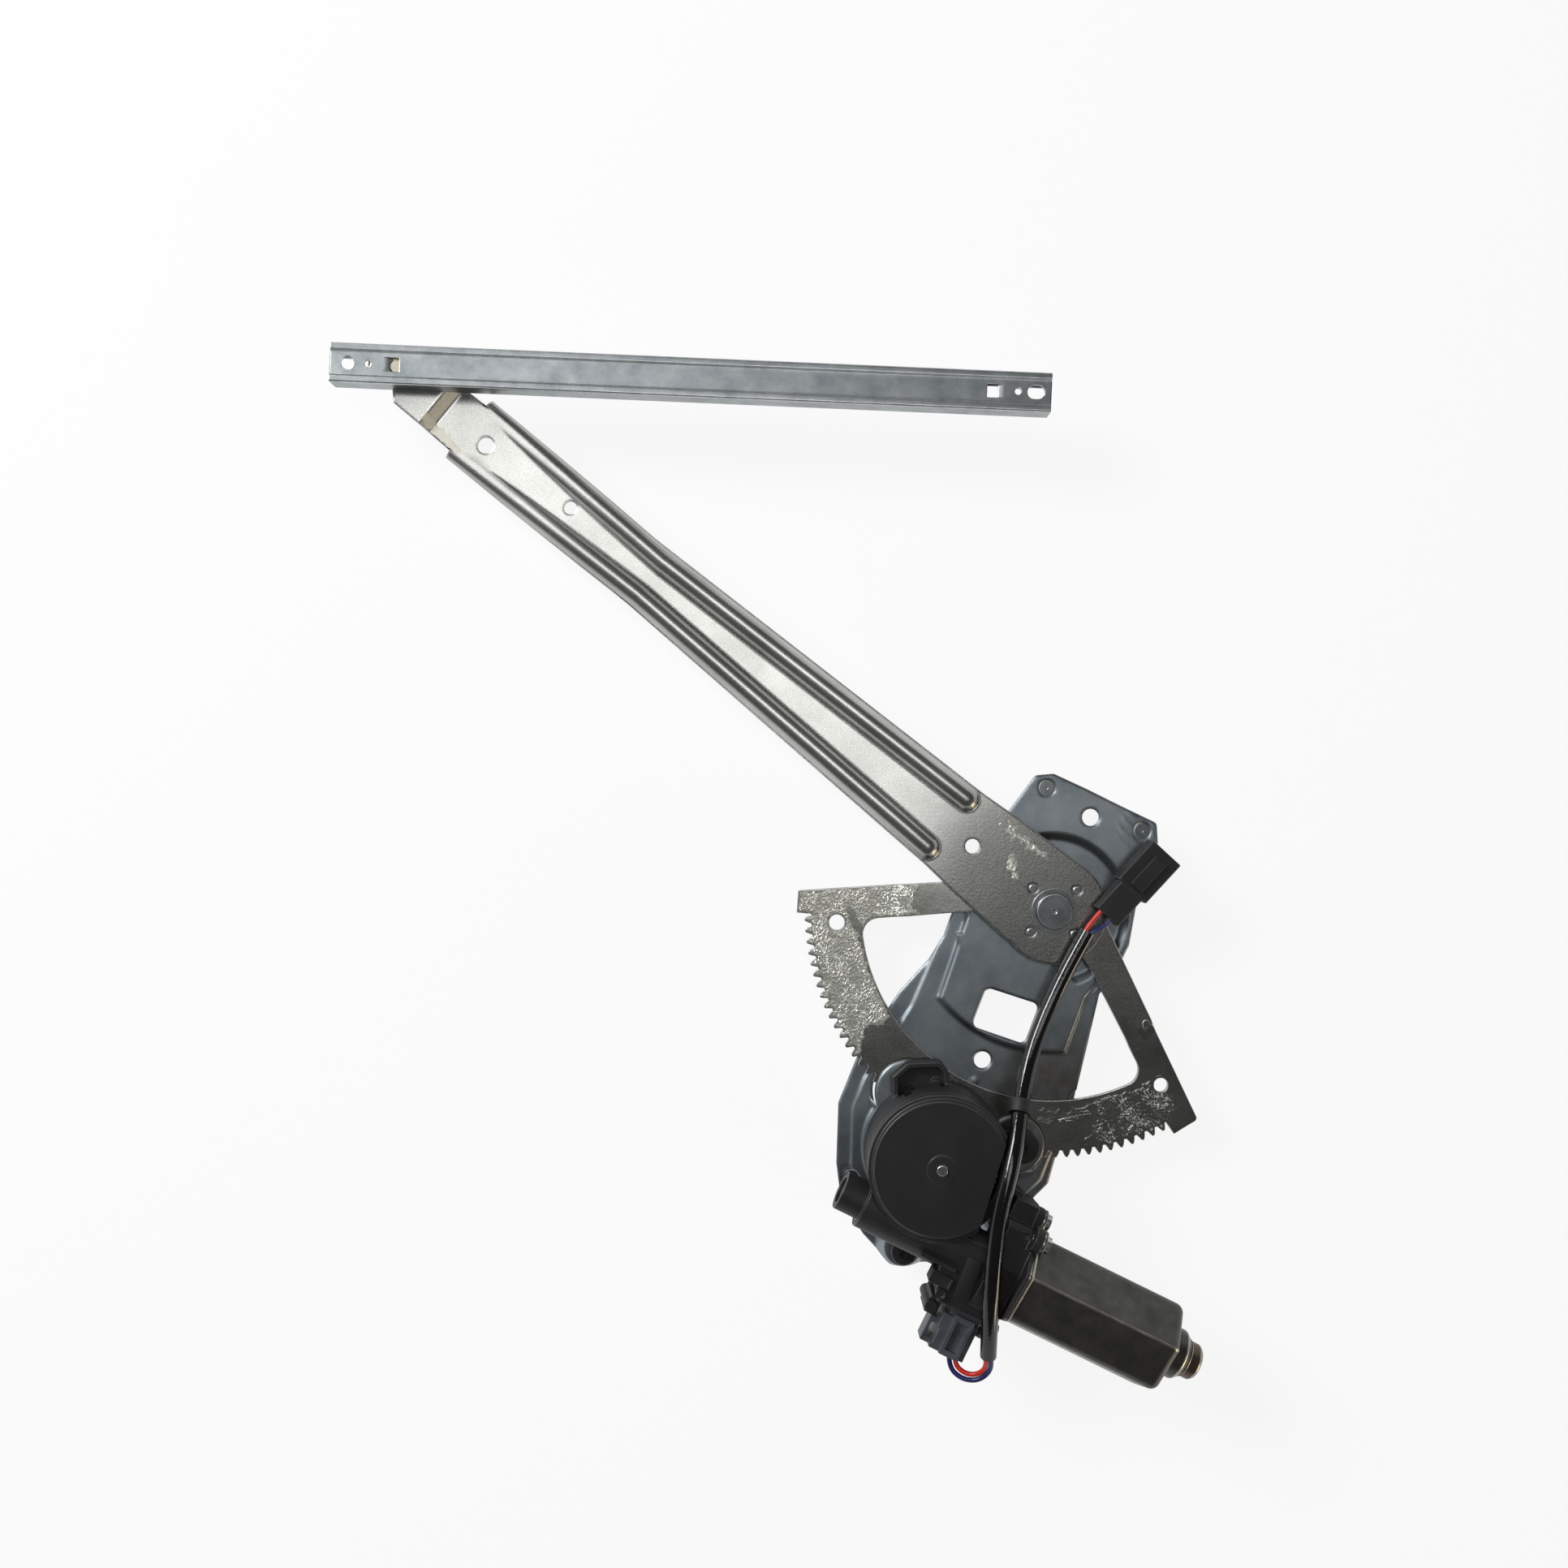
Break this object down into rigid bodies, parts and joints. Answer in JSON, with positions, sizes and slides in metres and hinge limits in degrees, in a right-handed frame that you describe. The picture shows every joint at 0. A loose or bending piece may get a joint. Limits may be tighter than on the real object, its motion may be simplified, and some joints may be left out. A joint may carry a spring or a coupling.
{
  "type": "window regulator",
  "caption": "Single-arm electric window lift: a toothed sector and arm on a pressed plate, driven by a worm-geared motor, with a glass rail on a sliding shoe.",
  "frame": {"origin": "centre of the upper door stud, on the back face of the base plate's pad", "axes": "+Z out of the door panel towards the cabin, square to the base plate; +Y up along the door; +X to the right as seen from the cabin side"},
  "size_m": [0.4216, 0.4987, 0.0692],
  "materials": {
    "zinc_steel": "blue-grey zinc plated sheet, satin",
    "bright_steel": "bright zinc plated steel, brushed",
    "arm_steel": "zinc plated sheet steel, bright, lightly spangled",
    "gear_steel": "zinc plated sheet steel under grease",
    "rail_steel": "galvanised steel, satin",
    "hard_steel": "ground and hardened steel",
    "magnet_steel": "dark sintered ferrite",
    "core_steel": "stacked electrical steel",
    "yoke_paint": "dark grey electro-coat, semi-matte",
    "black_steel": "black phosphated steel screws",
    "black_nylon": "black glass-filled nylon, matte moulding grain",
    "grey_nylon": "dark grey nylon, semi-matte",
    "natural_nylon": "cream acetal, semi-matte",
    "wheel_acetal": "natural white acetal",
    "damper_rubber": "black rubber",
    "copper": "bare and enamelled copper",
    "brush_carbon": "pressed carbon",
    "sintered_bronze": "oil-filled sintered bronze",
    "tinned_brass": "tin plated brass",
    "sleeve_vinyl": "glossy black vinyl tube",
    "wire_red": "red cable insulation",
    "wire_blue": "dark blue cable insulation"
  },
  "bodies": {
    "base": {"base_plate": "zinc_steel", "door_studs": "bright_steel", "pivot_pin": "bright_steel", "pivot_washer": "bright_steel", "pivot_bush": "natural_nylon", "gearbox_housing": "black_nylon", "gearbox_cover": "black_nylon", "gearbox_screws": "black_steel", "output_axle": "hard_steel", "end_bush": "sintered_bronze", "end_cap": "black_nylon", "front_bush": "sintered_bronze", "motor_yoke": "yoke_paint", "motor_screws": "bright_steel", "magnets": "magnet_steel", "rear_bush": "sintered_bronze", "brushes": "brush_carbon", "harness_sleeve": "sleeve_vinyl", "wire_red": "wire_red", "wire_blue": "wire_blue", "motor_plug": "grey_nylon", "plug_socket": "black_nylon", "harness_clip": "black_nylon", "connector_housing": "black_nylon", "connector_terminals": "tinned_brass", "connector_lock": "black_nylon"},
    "arm": {"lift_arm": "arm_steel", "sector_gear": "gear_steel", "hub_rivets": "bright_steel", "slider_stud": "bright_steel"},
    "output": {"pinion": "hard_steel", "worm_wheel": "wheel_acetal", "damper": "damper_rubber", "drive_plate": "zinc_steel"},
    "armature": {"armature_shaft": "hard_steel", "armature_core": "core_steel", "windings": "copper", "commutator": "copper"},
    "shoe": {"slider_shoe": "natural_nylon"},
    "rail": {"glass_rail": "rail_steel"}
  },
  "joints": [
    {"name": "arm_swing", "type": "hinge", "parent": "base", "child": "arm", "pos_m": [0.0024, -0.0603, 0.009], "axis": [0, 0, 1], "range_deg": [-50, 55]},
    {"name": "pinion_spin", "type": "hinge", "parent": "base", "child": "output", "pos_m": [-0.05616, -0.17776, 0.012], "axis": [0, 0, 1], "range_deg": [-640, 580]},
    {"name": "armature_spin", "type": "hinge", "parent": "base", "child": "armature", "pos_m": [-0.0705, -0.20704, 0.03], "axis": [0.898, -0.4399, 0], "range_deg": [-35200, 38700]},
    {"name": "rail_swivel", "type": "hinge", "parent": "arm", "child": "shoe", "pos_m": [-0.31674, 0.20278, 0.018], "axis": [0, 0, 1], "range_deg": [-80, 28]},
    {"name": "rail_slide", "type": "slide", "parent": "shoe", "child": "rail", "axis": [-0.9991, 0.0427, 0], "range_m": [0, 0.278]}
  ],
  "couplings": [
    {"joint": "pinion_spin", "follows": "arm_swing", "ratio": -11.5},
    {"joint": "armature_spin", "follows": "arm_swing", "ratio": 701.5}
  ]
}
